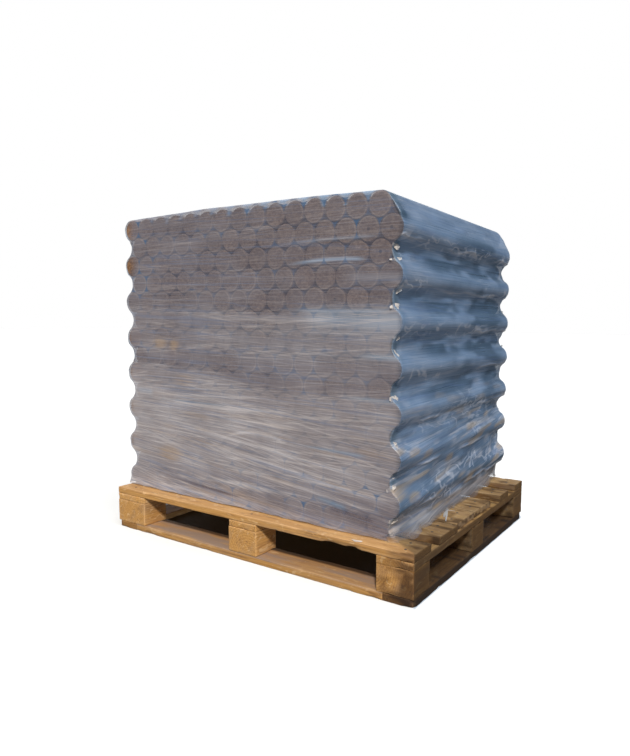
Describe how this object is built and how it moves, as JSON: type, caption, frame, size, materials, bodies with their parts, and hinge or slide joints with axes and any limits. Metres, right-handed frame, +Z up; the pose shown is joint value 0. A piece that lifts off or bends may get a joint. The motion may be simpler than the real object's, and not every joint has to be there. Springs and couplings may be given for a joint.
{
  "type": "pallet of fire logs",
  "caption": "Stretch-wrapped stack of round pressed fire logs, laid in staggered rows on a four-way wooden block pallet.",
  "frame": {"origin": "on the floor, under the middle of the pallet", "axes": "+Z up; +X along the pallet's length and its deck boards; the log ends of the front look along -Y"},
  "size_m": [1.2, 0.9, 1.0936],
  "materials": {
    "pallet_timber": "rough-sawn, weathered softwood",
    "fire_log": "matt pressed sawdust",
    "film": "clear stretched polyethylene film"
  },
  "bodies": {
    "root": {"deck_board_1": "pallet_timber", "deck_board_2": "pallet_timber", "deck_board_3": "pallet_timber", "deck_board_4": "pallet_timber", "deck_board_5": "pallet_timber", "deck_board_6": "pallet_timber", "stringer_board_left": "pallet_timber", "stringer_board_middle": "pallet_timber", "stringer_board_right": "pallet_timber", "bottom_board_front": "pallet_timber", "bottom_board_middle": "pallet_timber", "bottom_board_back": "pallet_timber", "bottom_board_left": "pallet_timber", "bottom_board_right": "pallet_timber", "block_front_left": "pallet_timber", "block_front_middle": "pallet_timber", "block_front_right": "pallet_timber", "block_middle_left": "pallet_timber", "block_middle_middle": "pallet_timber", "block_middle_right": "pallet_timber", "block_back_left": "pallet_timber", "block_back_middle": "pallet_timber", "block_back_right": "pallet_timber", "log_row_01": "fire_log", "log_row_02": "fire_log", "log_row_03": "fire_log", "log_row_04": "fire_log", "log_row_05": "fire_log", "log_row_06": "fire_log", "log_row_07": "fire_log", "log_row_08": "fire_log", "log_row_09": "fire_log", "log_row_10": "fire_log", "log_row_11": "fire_log", "log_row_12": "fire_log", "log_row_13": "fire_log", "log_row_14": "fire_log", "log_row_15": "fire_log", "stretch_film": "film"}
  },
  "joints": []
}
